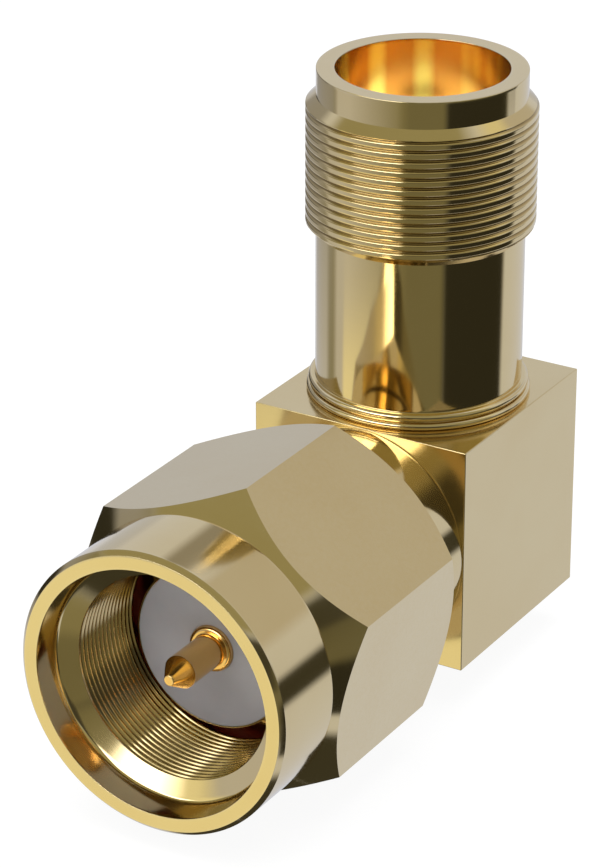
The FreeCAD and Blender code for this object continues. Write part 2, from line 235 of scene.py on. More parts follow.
# Plastics and rubber
# Painted shade: the plug's insulator is darkened to grey for the shade it sits in inside the nut
PAINTED_SHADE_GREY = (0.30, 0.285, 0.29)
PAINTED_SHADE_GREY_DEEP = (0.27, 0.255, 0.26)
# Painted light: the jack's insulator is amber for the warm light that the gold bore bounces onto it
PAINTED_GLOW_AMBER = (0.88, 0.70, 0.36)
PAINTED_GLOW_AMBER_DEEP = (0.84, 0.66, 0.33)
RED = (0.32, 0.02, 0.015)
RED_DEEP = (0.26, 0.015, 0.012)
PLASTIC_RELIEF = 0.08
PLASTIC_GLOSS_CHANGE = 0.15
SCATTER_SCALE = 0.0006

# Noise: waves in a metre, the depth of its relief in metres, and the range that it mostly keeps to
LATHE_SCALE = 22000.0
MILL_SCALE = (900.0, 12000.0, 12000.0)
CLOUD_SCALE = 420.0
SPECK_SCALE = 9000.0
GRIT_SCALE = 14000.0
RELIEF_DEPTH = 0.00002
NOISE_RANGE = (0.3, 0.7)
MARK_RANGE = (0.35, 0.65)

# Plating: what tool marks, clouds and rubbed edges do to its gloss and tint, and the painted shade that
# darkens its grooves
MARK_RELIEF = 0.005
MARK_GLOSS_CHANGE = 0.04
CLOUD_GLOSS_CHANGE = (-0.004, 0.006)
RUBBED_LEAST = 0.25
RUBBED_PALENESS = 0.25
RUBBED_TINT_SHARE = 0.35
RUBBED_GLOSS_CHANGE = 0.03
# Painted shade in grooves: the share of a groove's depth that turns the colour towards this dark brown
GROOVE_SHADE_SHARE = 0.72
GROOVE_SHADE_TINT = (0.22, 0.13, 0.03)

# Jack's bore: painted reflections, a deep orange glow and pale streaks strongest round one side of the
# wall
BORE_GOLD_PAINTED_GLOW = (0.72, 0.42, 0.13)
BORE_PAINTED_STREAK = (1.0, 1.0, 0.40)
BORE_CLOUD_SCALE = 700.0
BORE_GLOSS_CHANGE = 0.1
REFLECTION_MIDDLE = math.radians(151)
REFLECTION_COUNT = 11.0
REFLECTION_RANGE = (0.0, 0.95)
REFLECTION_SIDE_RANGE = (0.3, 0.8)
REFLECTION_SIDE_SHARE = (0.05, 1.0)
REFLECTION_CLOUD_SHARE = (0.75, 1.1)

# Studio: tints of its cards and light, its radius and the lamps' distance in metres, and the widest
# facet of a card in degrees
COOL = (0.956, 1.0, 1.147)
SLATE = (0.98, 1.0, 1.10)
WARM = (1.0, 0.95, 0.66)
STRAW = (1.0, 0.94, 0.56)
TAN = (1.03, 1.0, 0.96)
WHITE = (1.0, 1.0, 1.0)
SKY = (0.95, 0.97, 1.0)
SKY_STRENGTH = 0.6
TENT_RADIUS = 0.6
LAMP_DISTANCE = 0.3
CARD_STEP = 5

# Cards: name, azimuths and elevations in degrees, strength, tint, distance as a share of the tent's
# radius, and the width of the fade at the borders in degrees: west, east, south and north, or one
# for all four. A nearer card covers the ones behind it.
CARDS = (
    ("wall", (-180, 180), (-90, 90), 0.68, COOL, 1.00, 0.01),
    ("back_high", (132, 180), (12, 52), 0.53, TAN, 0.985, 6),
    ("back_dim", (-172, -150), (26, 46), 0.30, TAN, 0.982, (6, 5, 4, 6)),
    ("back_band", (-176, -127), (-9, 12), 0.57, COOL, 0.98, 5),
    ("front_top", (-94, 122), (24, 90), 0.34, STRAW, 0.97, (8, 18, 6, 1)),
    ("front_base", (-96, 40), (-60, 30), 0.26, STRAW, 0.965, (8, 8, 8, 4)),
    ("front_glow", (-82, 10), (-60, 12), 0.58, SLATE, 0.96, (8, 66, 6, 4)),
    ("left_grey", (-132, -74), (-26, 36), 0.34, SLATE, 0.95, (5, 10, 8, 6)),
    ("left_flag", (-128, -86), (-15, 8), 0.03, WARM, 0.94, (5, 5, 5, 5)),
    ("right_mid", (60, 112), (8, 34), 0.34, STRAW, 0.935, (10, 5, 5, 5)),
    ("right_dim", (2, 62), (-38, 12), 0.18, STRAW, 0.92, (14, 8, 6, 4)),
    ("right_shade", (12, 76), (-6, 27), 0.06, WARM, 0.915, (4, 14, 3, 5)),
    ("right_low", (50, 136), (-24, 10), 0.15, STRAW, 0.912, (8, 6, 3, 3)),
    ("right_flag", (52, 134), (-44, -9), 0.03, WARM, 0.908, (6, 5, 3, 5)),
    ("horizon_band", (122, 151), (-19, -1), 0.05, WARM, 0.90, 4),
    ("right_top_card", (108, 150), (34, 62), 0.78, WARM, 0.89, 9),
    ("front_floor_card", (-66, -12), (-58, -21.5), 0.97, WARM, 0.87, (4, 4, 2, 1.5)),
    ("key_glow", (-62, -22), (5, 34), 0.90, WARM, 0.865, 6),
    ("key_wing", (-50, -24), (21, 42), 3.20, WHITE, 0.862, 5),
    ("key_card", (-36, 10), (11, 42), 4.30, WHITE, 0.86, (18, 3, 4, 4)),
    ("bottom_flag", (-180, 180), (-90, -52), 0.05, WARM, 0.85, (1, 1, 1, 6)),
)

# Lamps: name, azimuth and elevation in degrees, size, watts and tint
LAMPS = (
    ("key_lamp", -20, 50, 0.25, 0.6, (1.0, 0.98, 0.94)),
    ("fill_lamp", 100, 35, 0.3, 0.3, (0.96, 0.98, 1.0)),
    ("top_lamp", 30, 84, 0.3, 1.5, (1.0, 0.99, 0.97)),
)

# Floor: paper with a fine tooth, how much of it the camera sees as plain white, and its half width
PAPER = (0.86, 0.86, 0.85)
PAPER_SCALE = 3000.0
PAPER_RELIEF = 0.05
PAPER_DEPTH = 0.0001
PAPER_WHITENESS = 0.93
FLOOR_REACH = 1.2


# Camera

def direction(azimuth, elevation):
    """Unit vector. Azimuth 0 is -Y and a quarter turn is +X."""
    across = math.cos(elevation)
    return Vector((math.sin(azimuth) * across, -math.cos(azimuth) * across, math.sin(elevation)))


def make_camera():
    camera = bpy.data.objects.new("camera", bpy.data.cameras.new("camera"))
    bpy.context.scene.collection.objects.link(camera)
    back = direction(VIEW_AZIMUTH, VIEW_ELEVATION)
    camera.location = (VIEW_TARGET + back * VIEW_DISTANCE) * MM
    camera.rotation_mode = "QUATERNION"
    camera.rotation_quaternion = (-back).to_track_quat("-Z", "Y")
    camera.data.sensor_width = SENSOR_WIDTH
    camera.data.lens = LENS
    camera.data.clip_start = VIEW_NEAR
    camera.data.clip_end = VIEW_FAR
    bpy.context.scene.camera = camera


# Mesh helpers

def on_jack(x, y, height):
    return (x, y, height + PLUG_HEIGHT)


def on_plug(x, y, height):
    return (x, -height, y + PLUG_HEIGHT)


def beside_rounding(here, away, length, reach):
    """Unworn point on a side past its corner's rounding, or nothing where the side is short."""
    lead = min(reach + WEAR_REACH, length * WEAR_SIDE_SHARE)
    if lead <= reach * WEAR_MARGIN:
        return []
    point = here + away * lead
    return [(point.x, point.y, 0.0)]


def section(*corners):
    """Points of (radius, height, wear) round a half section; a third number rounds a corner."""
    points = []
    for index, corner in enumerate(corners):
        here = Vector(corner[:2])
        if len(corner) == 2:
            points.append((here.x, here.y, 0.0))
            continue
        rounding = corner[2]
        before = Vector(corners[index - 1][:2]) - here
        after = Vector(corners[(index + 1) % len(corners)][:2]) - here
        back = before.normalized()
        ahead = after.normalized()
        half_angle = back.angle(ahead) / 2
        reach = rounding / math.tan(half_angle)
        centre = here + (back + ahead).normalized() * rounding / math.sin(half_angle)
        start = here + back * reach
        finish = here + ahead * reach
        convex = back.x * ahead.y - back.y * ahead.x < 0
        wear_and_groove_shade = 1.0 if convex else 0.0
        from_centre = math.atan2(start.y - centre.y, start.x - centre.x)
        sweep = math.atan2(finish.y - centre.y, finish.x - centre.x) - from_centre
        sweep = (sweep + math.pi) % (2 * math.pi) - math.pi
        points += beside_rounding(here, back, before.length, reach)
        for step in range(ARC_STEPS + 1):
            angle = from_centre + sweep * step / ARC_STEPS
            points.append((
                centre.x + rounding * math.cos(angle),
                centre.y + rounding * math.sin(angle),
                wear_and_groove_shade,
            ))
        points += beside_rounding(here, ahead, after.length, reach)
    return points


def rings(points, columns=COLUMNS):
    """The same point all the way round, for each point of a section."""
    return [[point] * (columns + 1) for point in points]


def helix(low, high, pitch, first_groove, steps, form_at):
    """Rows that climb one pitch a turn, so that a thread's form runs true along them.

    form_at gives the radius and the share of a groove's depth there, which is kept as a negative value
    beside the edge wear and paints shade into the groove.
    """
    rows = []
    turns = math.ceil((high - low) / pitch) + 1
    for index in range(turns * steps + 1):
        phase = ((low - pitch - first_groove) / pitch + index / steps - THREAD_START) % 1.0
        row = []
        for column in range(COLUMNS + 1):
            height = low + pitch * (index / steps - 1 + column / COLUMNS)
            height = min(max(height, low), high)
            radius, groove = form_at(height, phase)
            row.append((radius, height, -groove))
        rows.append(row)
    return rows


def join_lines(mesh, line, following):
    """Faces between two lines with as many vertices each."""
    for column in range(len(line) - 1):
        mesh.faces.new((line[column], line[column + 1], following[column + 1], following[column]))


def skin(name, rows, place, start_angle=0.0):
    """Closed mesh from rows of points, each once round the axis and the last next to the first."""
    columns = len(rows[0]) - 1
    mesh = bmesh.new()
    wear_and_groove_shade_layer = mesh.verts.layers.float.new("wear_and_groove_shade")
    turns = []
    for column in range(columns + 1):
        angle = start_angle + 2 * math.pi * column / columns
        turns.append((math.cos(angle), math.sin(angle)))
    grid = []
    for row in rows:
        line = []
        for (radius, height, wear_and_groove_shade), (across, along) in zip(row, turns):
            point = place(radius * across, radius * along, height)
            vertex = mesh.verts.new([value * MM for value in point])
            vertex[wear_and_groove_shade_layer] = wear_and_groove_shade
            line.append(vertex)
        grid.append(line)
    for index, line in enumerate(grid):
        following = grid[(index + 1) % len(grid)]
        join_lines(mesh, line, following)
    bmesh.ops.remove_doubles(mesh, verts=mesh.verts, dist=MERGE_DISTANCE)
    bmesh.ops.dissolve_degenerate(mesh, edges=mesh.edges, dist=SHORTEST_EDGE)
    bmesh.ops.recalc_face_normals(mesh, faces=mesh.faces)
    return finish_mesh(name, mesh)


def finish_mesh(name, mesh):
    data = bpy.data.meshes.new(name)
    mesh.to_mesh(data)
    mesh.free()
    piece = bpy.data.objects.new(name, data)
    bpy.context.scene.collection.objects.link(piece)
    return piece


def smooth(piece):
    """Smooth shading that keeps flat faces flat and real edges crisp."""
    piece.data.shade_smooth()
    piece.data.set_sharp_from_angle(angle=SHARP_ANGLE)
    weighted = piece.modifiers.new("even_normals", "WEIGHTED_NORMAL")
    weighted.keep_sharp = True
    weighted.weight = FLAT_WEIGHT


def dress(piece, body, node, material, inner=None, is_inner=None):
    """Material for a piece, a second one for its inner faces, and its place among the solids."""
    piece.data.materials.clear()
    piece.data.materials.append(material)
    if inner is not None:
        piece.data.materials.append(inner)
        for face in piece.data.polygons:
            face.material_index = 1 if is_inner(face) else 0
    smooth(piece)
    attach(piece, body)
    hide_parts(node)
    return piece


def carve(piece, cutters):
    """Cut other meshes out of a piece for good, and drop them."""
    for cutter in cutters:
        modifier = piece.modifiers.new("cut", "BOOLEAN")
        modifier.operation = "DIFFERENCE"
        modifier.solver = "EXACT"
        modifier.object = cutter
    bpy.context.view_layer.update()
    graph = bpy.context.evaluated_depsgraph_get()
    cut = bpy.data.meshes.new_from_object(piece.evaluated_get(graph))
    piece.modifiers.clear()
    piece.data = cut
    for cutter in cutters:
        bpy.data.objects.remove(cutter)


# Material helpers

class Nodes:
    """Short way to add and join the nodes of one material or of the world."""

    def __init__(self, owner):
        owner.use_nodes = True
        self.owner = owner
        self.tree = owner.node_tree
        self.tree.nodes.clear()

    def add(self, kind, links=(), **values):
        node = self.tree.nodes.new("ShaderNode" + kind)
        for key, value in values.items():
            setattr(node, key, value)
        for socket, source in dict(links).items():
            target = node.inputs[socket]
            if hasattr(source, "is_output"):
                self.tree.links.new(source, target)
            else:
                target.default_value = source
        return node

    def math(self, operation, first, second=0.5):
        node = self.add("Math", {0: first, 1: second}, operation=operation)
        return node.outputs[0]

    def spread(self, value, span, result=(0.0, 1.0)):
        """Value carried over from one range to another, and held at its ends."""
        (low, high), (to_low, to_high) = span, result
        links = {"Value": value, "From Min": low, "From Max": high, "To Min": to_low, "To Max": to_high}
        return self.add("MapRange", links).outputs["Result"]

    def place(self):
        return self.add("TexCoord").outputs["Object"]

    def noise(self, place, scale, detail):
        links = {"Vector": place, "Scale": scale, "Detail": detail}
        return self.add("TexNoise", links).outputs["Fac"]

    def mix(self, share, first, second):
        return self.add("MixRGB", {"Fac": share, "Color1": first, "Color2": second}).outputs[0]

    def relief(self, height, strength, depth):
        links = {"Height": height, "Strength": strength, "Distance": depth}
        return self.add("Bump", links).outputs[0]

    def finish(self, shader, output="OutputMaterial"):
        self.tree.links.new(shader.outputs[0], self.add(output).inputs["Surface"])
        return self.owner


def opaque(colour):
    """Colour with full cover, as a socket wants it."""
    return (*colour, 1)


def about(value, change):
    """Range that reaches a share of a value to either side of it."""
    return (value * (1 - change), value * (1 + change))


def lathe_grain(nodes, axis):
    """Noise that runs in rings round an axis, as turning leaves it. The axis is jack or plug."""
    parts = nodes.add("SeparateXYZ", {0: nodes.place()})
    if axis == "jack":
        first, second, along = parts.outputs[0], parts.outputs[1], parts.outputs[2]
    else:
        lifted = nodes.math("SUBTRACT", parts.outputs[2], PLUG_HEIGHT * MM)
        first, second, along = parts.outputs[0], lifted, parts.outputs[1]
    squares = nodes.math("ADD", nodes.math("POWER", first, 2.0), nodes.math("POWER", second, 2.0))
    radius = nodes.math("SQRT", squares)
    turned = nodes.add("CombineXYZ", {0: radius, 1: along, 2: 0.0}).outputs[0]
    return nodes.noise(turned, LATHE_SCALE, detail=2.0)


def mill_grain(nodes):
    """Noise drawn out along one direction, as on a flat that is ground and then plated."""
    drawn = nodes.add("Mapping", {"Vector": nodes.place(), "Scale": MILL_SCALE}).outputs[0]
    return nodes.noise(drawn, scale=1.0, detail=3.0)


def plating(name, colour, deep, roughness, grain):
    """Polished metal: slight tint and gloss changes, tool marks, pale rubbed edges, painted shade in
    grooves.
    """
    nodes = Nodes(bpy.data.materials.new(name))
    if grain == "mill":
        marks = mill_grain(nodes)
    else:
        marks = lathe_grain(nodes, grain)
    place = nodes.place()
    cloud = nodes.noise(place, CLOUD_SCALE, detail=3.0)
    specks = nodes.noise(place, SPECK_SCALE, detail=2.0)
    wear_and_groove_shade = nodes.add("Attribute", attribute_name="wear_and_groove_shade").outputs["Fac"]
    speckled = nodes.spread(specks, NOISE_RANGE, (RUBBED_LEAST, 1.0))
    rubbed = nodes.math("MULTIPLY", nodes.math("MAXIMUM", wear_and_groove_shade, 0.0), speckled)
    # Painted shade: the colour darkens towards dark brown with a groove's depth, standing in for shade
    # in the grooves
    painted_groove_shade = nodes.math("MAXIMUM", nodes.math("MULTIPLY", wear_and_groove_shade, -GROOVE_SHADE_SHARE), 0.0)
    pale = [value * (1 - RUBBED_PALENESS) + RUBBED_PALENESS for value in colour]
    clouded = nodes.mix(nodes.spread(cloud, NOISE_RANGE), opaque(colour), opaque(deep))
    worn = nodes.mix(nodes.math("MULTIPLY", rubbed, RUBBED_TINT_SHARE), clouded, opaque(pale))
    marked_gloss = nodes.spread(marks, MARK_RANGE, about(roughness, MARK_GLOSS_CHANGE))
    rubbed_gloss = nodes.math("MULTIPLY", rubbed, RUBBED_GLOSS_CHANGE)
    gloss = nodes.math("ADD", marked_gloss, rubbed_gloss)
    gloss = nodes.math("ADD", gloss, nodes.spread(cloud, NOISE_RANGE, CLOUD_GLOSS_CHANGE))
    shader = nodes.add("BsdfPrincipled", {
        "Base Color": nodes.mix(painted_groove_shade, worn, opaque(GROOVE_SHADE_TINT)),
        "Metallic": 1.0,
        "Roughness": gloss,
        "Normal": nodes.relief(marks, MARK_RELIEF, RELIEF_DEPTH),
    })
    return nodes.finish(shader)


def bore_plating_painted_glow(name, colour, painted_streak, roughness):
    """Gold inside a bore, painted with the orange glow of bounced light and pale reflection streaks
    along the wall.
    """
    nodes = Nodes(bpy.data.materials.new(name))
    place = nodes.place()
    parts = nodes.add("SeparateXYZ", {0: place})
    around = nodes.math("ARCTAN2", parts.outputs[1], parts.outputs[0])
    turned = nodes.math("SUBTRACT", around, REFLECTION_MIDDLE)
    ripple = nodes.math("COSINE", nodes.math("MULTIPLY", turned, REFLECTION_COUNT))
    streaks = nodes.spread(ripple, REFLECTION_RANGE)
    side = nodes.spread(nodes.math("COSINE", turned), REFLECTION_SIDE_RANGE, REFLECTION_SIDE_SHARE)
    cloud = nodes.noise(place, BORE_CLOUD_SCALE, detail=2.0)
    uneven = nodes.spread(cloud, NOISE_RANGE, REFLECTION_CLOUD_SHARE)
    # Painted reflections: pale streaks round the wall, strongest on one side
    painted_streaks = nodes.math("MULTIPLY", nodes.math("MULTIPLY", streaks, side), uneven)
    shader = nodes.add("BsdfPrincipled", {
        "Base Color": nodes.mix(painted_streaks, opaque(colour), opaque(painted_streak)),
        "Metallic": 1.0,
        "Roughness": nodes.spread(cloud, NOISE_RANGE, about(roughness, BORE_GLOSS_CHANGE)),
    })
    return nodes.finish(shader)


def plastic(name, colour, deep, roughness, mottle, scatter=0.0):
    """Machined or moulded plastic and rubber, with soft mottling and a fine surface grain."""
    nodes = Nodes(bpy.data.materials.new(name))
    place = nodes.place()
    cloud = nodes.noise(place, mottle, detail=4.0)
    grit = nodes.noise(place, GRIT_SCALE, detail=2.0)
    shader = nodes.add("BsdfPrincipled", {
        "Base Color": nodes.mix(nodes.spread(cloud, NOISE_RANGE), opaque(colour), opaque(deep)),
        "Roughness": nodes.spread(grit, NOISE_RANGE, about(roughness, PLASTIC_GLOSS_CHANGE)),
        "Subsurface Weight": scatter,
        "Subsurface Scale": SCATTER_SCALE,
        "Normal": nodes.relief(grit, PLASTIC_RELIEF, RELIEF_DEPTH),
    })
    return nodes.finish(shader)


# Materials

gold_on_jack = plating("gold_turned_jack", GOLD, GOLD_DEEP, roughness=0.10, grain="jack")
# Bore wall: gold painted deep orange for bounced light, with painted reflection streaks
gold_in_bore_painted_glow = bore_plating_painted_glow("gold_bore_painted_glow_jack", BORE_GOLD_PAINTED_GLOW, BORE_PAINTED_STREAK, roughness=0.22)
gold_on_plug = plating("gold_turned_plug", GOLD, GOLD_DEEP, roughness=0.10, grain="plug")
gold_on_block = plating("gold_milled_block", GOLD, GOLD_DEEP, roughness=0.14, grain="mill")
gold_on_nut = plating("gold_turned_nut", GOLD, GOLD_DEEP, roughness=0.10, grain="plug")
contact_on_jack = plating("contact_gold_jack", RICH_GOLD, RICH_GOLD_DEEP, roughness=0.12, grain="jack")
contact_on_plug = plating("contact_gold_plug", RICH_GOLD, RICH_GOLD_DEEP, roughness=0.12, grain="plug")
# Painted shade: grey for the shade inside the nut
plug_plastic = plastic("plug_insulator_plastic", PAINTED_SHADE_GREY, PAINTED_SHADE_GREY_DEEP, roughness=0.42, mottle=900.0,
                       scatter=0.1)
# Painted light: amber for the warm light bounced off the gold bore
jack_plastic = plastic("jack_insulator_plastic", PAINTED_GLOW_AMBER, PAINTED_GLOW_AMBER_DEEP, roughness=0.42, mottle=900.0,
                       scatter=0.1)
red_rubber = plastic("gasket_rubber", RED, RED_DEEP, roughness=0.45, mottle=2500.0)
spring_bronze = plating("spring_bronze", BRONZE, BRONZE_DEEP, roughness=0.25, grain="plug")
solder_metal = plating("solder_metal", SOLDER, SOLDER_DEEP, roughness=0.3, grain="mill")


# Jack

def jack_thread_form(height, phase):
    """Radius and share of the groove's depth, with flat crests, a run-in and a bevel at the top."""
    run_in = (height - BARREL_TOP) / THREAD_RUN_IN
    bevel = (LIP_BOTTOM - height) / (LIP_BOTTOM - THREAD_TOP)
    blank = BARREL_RADIUS + (THREAD_RADIUS - BARREL_RADIUS) * min(1.0, run_in, bevel)
    away = min(1.0, min(phase, 1 - phase) / JACK_GROOVE_REACH)
    groove = 0.5 + 0.5 * math.cos(math.pi * away)
    radius = THREAD_RADIUS - JACK_GROOVE_DEPTH * groove
    if radius > blank:
        return blank, 0.0
    return radius, groove


def in_jack_bore(face):
    """Whether a face of the barrel lies on the bore's wall, which gets the painted glow, below the
    bright edge at its top.
    """
    centre = face.center / MM
    inside = math.hypot(centre.x, centre.y) < JACK_BORE_RADIUS + BORE_TOLERANCE
    return inside and centre.z < PLUG_HEIGHT + JACK_TOP - BORE_BRIGHT_EDGE


def make_jack_barrel():
    # The corners at the thread's ends only turn their neighbours' sides the right way, and are dropped
    lower = section(
        (INSULATOR_RADIUS, SPIGOT_STOP),
        (SPIGOT_RADIUS, SPIGOT_STOP),
        (SPIGOT_RADIUS, HALF_BLOCK),
        (LOWER_BEAD_RADIUS, HALF_BLOCK, BEAD_ROUNDING),
        (LOWER_BEAD_RADIUS, LOWER_BEAD_TOP, BEAD_ROUNDING),
        (BEAD_WAIST, LOWER_BEAD_TOP),
        (BEAD_WAIST, UPPER_BEAD_BOTTOM),
        (UPPER_BEAD_RADIUS, UPPER_BEAD_BOTTOM, BEAD_ROUNDING),
        (UPPER_BEAD_RADIUS, FOOT_TOP, BEAD_ROUNDING),
        (BARREL_RADIUS, FOOT_TOP, FINE),
        (BARREL_RADIUS, BARREL_TOP),
        (INSULATOR_RADIUS, BARREL_TOP),
    )[:-1]
    upper = section(
        (INSULATOR_RADIUS, LIP_BOTTOM),
        (BARREL_RADIUS, LIP_BOTTOM),
        (BARREL_RADIUS, JACK_TOP, FINE),
        (JACK_BORE_RADIUS, JACK_TOP, FINE),
        (JACK_BORE_RADIUS, JACK_REFERENCE, FINE),
        (INSULATOR_RADIUS, JACK_REFERENCE),
    )[1:]
    thread = helix(BARREL_TOP, LIP_BOTTOM, JACK_PITCH, JACK_GROOVE, JACK_THREAD_STEPS, jack_thread_form)
    piece = skin("jack_barrel_skin", rings(lower) + thread + rings(upper), on_jack)
    return dress(piece, "elbow", "jack_barrel", gold_on_jack, gold_in_bore_painted_glow, in_jack_bore)


def make_jack_insulator():
    points = section(
        (COLLAR_STEP_RADIUS, INSULATOR_STOP),
        (INSULATOR_RADIUS, INSULATOR_STOP),
        (INSULATOR_RADIUS, JACK_REFERENCE, SLIGHT),
        (CONTACT_RADIUS, JACK_REFERENCE, SLIGHT),
        (CONTACT_RADIUS, POCKET_END),
        (COLLAR_STEP_RADIUS, POCKET_END),
    )
    piece = skin("jack_insulator_skin", rings(points, MEDIUM_COLUMNS), on_jack)
    return dress(piece, "elbow", "jack_insulator", jack_plastic)


def slot_cutter(degrees, low, high):
    """Thin box through the jack's axis, for cutting a slot."""
    mesh = bmesh.new()
    bmesh.ops.create_cube(mesh, size=1.0)
    across = (math.cos(math.radians(degrees)), math.sin(math.radians(degrees)))
    for vertex in mesh.verts:
        along = vertex.co.x * SLOT_CUT_LENGTH
        side = vertex.co.y * SLOT_WIDTH
        point = on_jack(
            along * across[0] - side * across[1],
            along * across[1] + side * across[0],
            low + (vertex.co.z + 0.5) * (high - low),
        )
        vertex.co = Vector(point) * MM
    bmesh.ops.recalc_face_normals(mesh, faces=mesh.faces)
    return finish_mesh("slot_%d" % degrees, mesh)


def make_jack_contact():
    points = section(
        (0, JACK_CONTACT_END),
        (CONTACT_RADIUS, JACK_CONTACT_END, SOFT),
        (CONTACT_RADIUS, INSULATOR_STOP),
        (COLLAR_STEP_RADIUS, INSULATOR_STOP),
        (COLLAR_STEP_RADIUS, POCKET_END),
        (CONTACT_RADIUS, POCKET_END),
        (CONTACT_RADIUS, JACK_REFERENCE, SOFT),
        (SOCKET_RADIUS + SOCKET_BREAK, JACK_REFERENCE, FINE),
        (SOCKET_RADIUS, JACK_REFERENCE - SOCKET_BREAK, FINE),
        (SOCKET_RADIUS, JACK_REFERENCE - SOCKET_DEPTH),
        (0, JACK_REFERENCE - SOCKET_DEPTH),
    )
    piece = skin("jack_contact_skin", rings(points, COARSE_COLUMNS), on_jack)
    slot_bottom = JACK_REFERENCE - SLOT_LENGTH
    slot_top = JACK_REFERENCE + CUT_OVERRUN
    cutters = [slot_cutter(angle, slot_bottom, slot_top) for angle in SLOT_ANGLES]
    hole = section(
        (0, -TAIL_HOLE_REACH),
        (TAIL_HOLE_RADIUS, -TAIL_HOLE_REACH),
        (TAIL_HOLE_RADIUS, TAIL_HOLE_REACH),
        (0, TAIL_HOLE_REACH),
    )
    cutters.append(skin("cross_hole", rings(hole, HOLE_COLUMNS), on_plug))
    carve(piece, cutters)
    return dress(piece, "elbow", "jack_contact", contact_on_jack)


# Plug

def make_plug_body():
    points = section(
        (INSULATOR_RADIUS, SPIGOT_STOP),
        (SPIGOT_RADIUS, SPIGOT_STOP),
        (SPIGOT_RADIUS, HALF_BLOCK),
        (FLANGE_RADIUS, HALF_BLOCK, FINE),
        (FLANGE_RADIUS, FLANGE_FRONT, SOFT),
        (HUB_RADIUS, FLANGE_FRONT),
        (HUB_RADIUS, RING_REAR - RING_PLAY),
        (HUB_GROOVE_RADIUS, RING_REAR - RING_PLAY),
        (HUB_GROOVE_RADIUS, RING_FRONT + RING_PLAY),
        (HUB_RADIUS, RING_FRONT + RING_PLAY),
        (HUB_RADIUS, HUB_FRONT, BROAD),
        (FERRULE_RADIUS, HUB_FRONT),
        (FERRULE_RADIUS, PLUG_REFERENCE, SOFT),
        (HEAD_RADIUS, PLUG_REFERENCE),
        (HEAD_RADIUS, PLUG_REFERENCE - HEAD_LENGTH),
        (INSULATOR_RADIUS, PLUG_REFERENCE - HEAD_LENGTH),
    )
    piece = skin("plug_body_skin", rings(points), on_plug)
    return dress(piece, "elbow", "plug_body", gold_on_plug)


def make_plug_insulator():
    points = section(
        (COLLAR_STEP_RADIUS, INSULATOR_STOP),
        (INSULATOR_RADIUS, INSULATOR_STOP),
        (INSULATOR_RADIUS, PLUG_REFERENCE - HEAD_LENGTH),
        (HEAD_RADIUS, PLUG_REFERENCE - HEAD_LENGTH),
        (HEAD_RADIUS, PLUG_REFERENCE, FINE),
        (CONTACT_RADIUS, PLUG_REFERENCE, FINE),
        (CONTACT_RADIUS, POCKET_END),
        (COLLAR_STEP_RADIUS, POCKET_END),
    )
    piece = skin("plug_insulator_skin", rings(points, MEDIUM_COLUMNS), on_plug)
    return dress(piece, "elbow", "plug_insulator", plug_plastic)


def make_plug_contact():
    points = section(
        (0, TAIL_END),
        (TAIL_RADIUS, TAIL_END, TAIL_ROUNDING),
        (TAIL_RADIUS, TAIL_STEP),
        (CONTACT_RADIUS, TAIL_STEP),
        (CONTACT_RADIUS, INSULATOR_STOP),
        (COLLAR_STEP_RADIUS, INSULATOR_STOP),
        (COLLAR_STEP_RADIUS, POCKET_END),
        (CONTACT_RADIUS, POCKET_END),
        (CONTACT_RADIUS, PIN_SHOULDER, BROAD),
        (PIN_RADIUS, PIN_SHOULDER, FINE),
        (PIN_RADIUS, PIN_POINT, SOFT),
        (PIN_TIP_RADIUS, PIN_END, SLIGHT),
        (0, PIN_END),
    )
    piece = skin("plug_contact_skin", rings(points, PIN_COLUMNS), on_plug)
    return dress(piece, "elbow", "plug_contact", contact_on_plug)


def make_gasket():
    front = HUB_FRONT + GASKET_LENGTH
    points = section(
        (GASKET_INNER_RADIUS, HUB_FRONT, GASKET_ROUNDING),
        (GASKET_OUTER_RADIUS, HUB_FRONT, GASKET_ROUNDING),
        (GASKET_OUTER_RADIUS, front, GASKET_LIP_ROUNDING),
        (GASKET_INNER_RADIUS, front, GASKET_LIP_ROUNDING),
    )
    piece = skin("gasket_skin", rings(points, MEDIUM_COLUMNS), on_plug)
    return dress(piece, "elbow", "gasket", red_rubber)


def make_rear_cap():
    points = section(
        (0, -HALF_BLOCK),
        (CAP_RADIUS, -HALF_BLOCK, CAP_ROUNDING),
        (CAP_RADIUS, CAP_FLOOR),
        (0, CAP_FLOOR),
    )
    piece = skin("rear_cap_skin", rings(points, MEDIUM_COLUMNS), on_plug)
    return dress(piece, "elbow", "rear_cap", gold_on_plug)


# Coupling nut

def nut_thread_form(height, phase):
    """Radius and share of the groove's depth: crests towards the axis, rounded grooves between."""
    from_end = min(height - NUT_THREAD_REAR, NUT_THREAD_FRONT - height)
    fade = min(1.0, from_end / NUT_THREAD_FADE)
    wave = 0.5 + 0.5 * math.cos(2 * math.pi * phase)
    groove = wave ** NUT_GROOVE_FULLNESS * max(0.0, fade)
    return NUT_THREAD_RADIUS + NUT_GROOVE_DEPTH * groove, groove


def hexagon_rows():
    """Outside of the hexagon, with the break between flat and conical bevel true in each column."""
    rear_edge, rear_lead, rear_break, front_break, front_lead = [], [], [], [], []
    lead_radius = HEX_BEVEL_RADIUS + HEX_LEAD
    lead = HEX_LEAD * HEX_BEVEL_SLOPE
    for column in range(COLUMNS + 1):
        off_corner = (2 * math.pi * column / COLUMNS) % (math.pi / 3)
        radius = HEX_APOTHEM / math.cos(off_corner - math.pi / 6)
        bevel = (radius - HEX_BEVEL_RADIUS) * HEX_BEVEL_SLOPE
        rear_edge.append((HEX_BEVEL_RADIUS, NUT_REAR, 0.0))
        rear_lead.append((lead_radius, NUT_REAR + lead, 0.0))
        rear_break.append((radius, NUT_REAR + bevel, HEX_WEAR))
        front_break.append((radius, HEX_FRONT - bevel, HEX_WEAR))
        front_lead.append((lead_radius, HEX_FRONT - lead, 0.0))
    return [rear_edge, rear_lead, rear_break, front_break, front_lead]


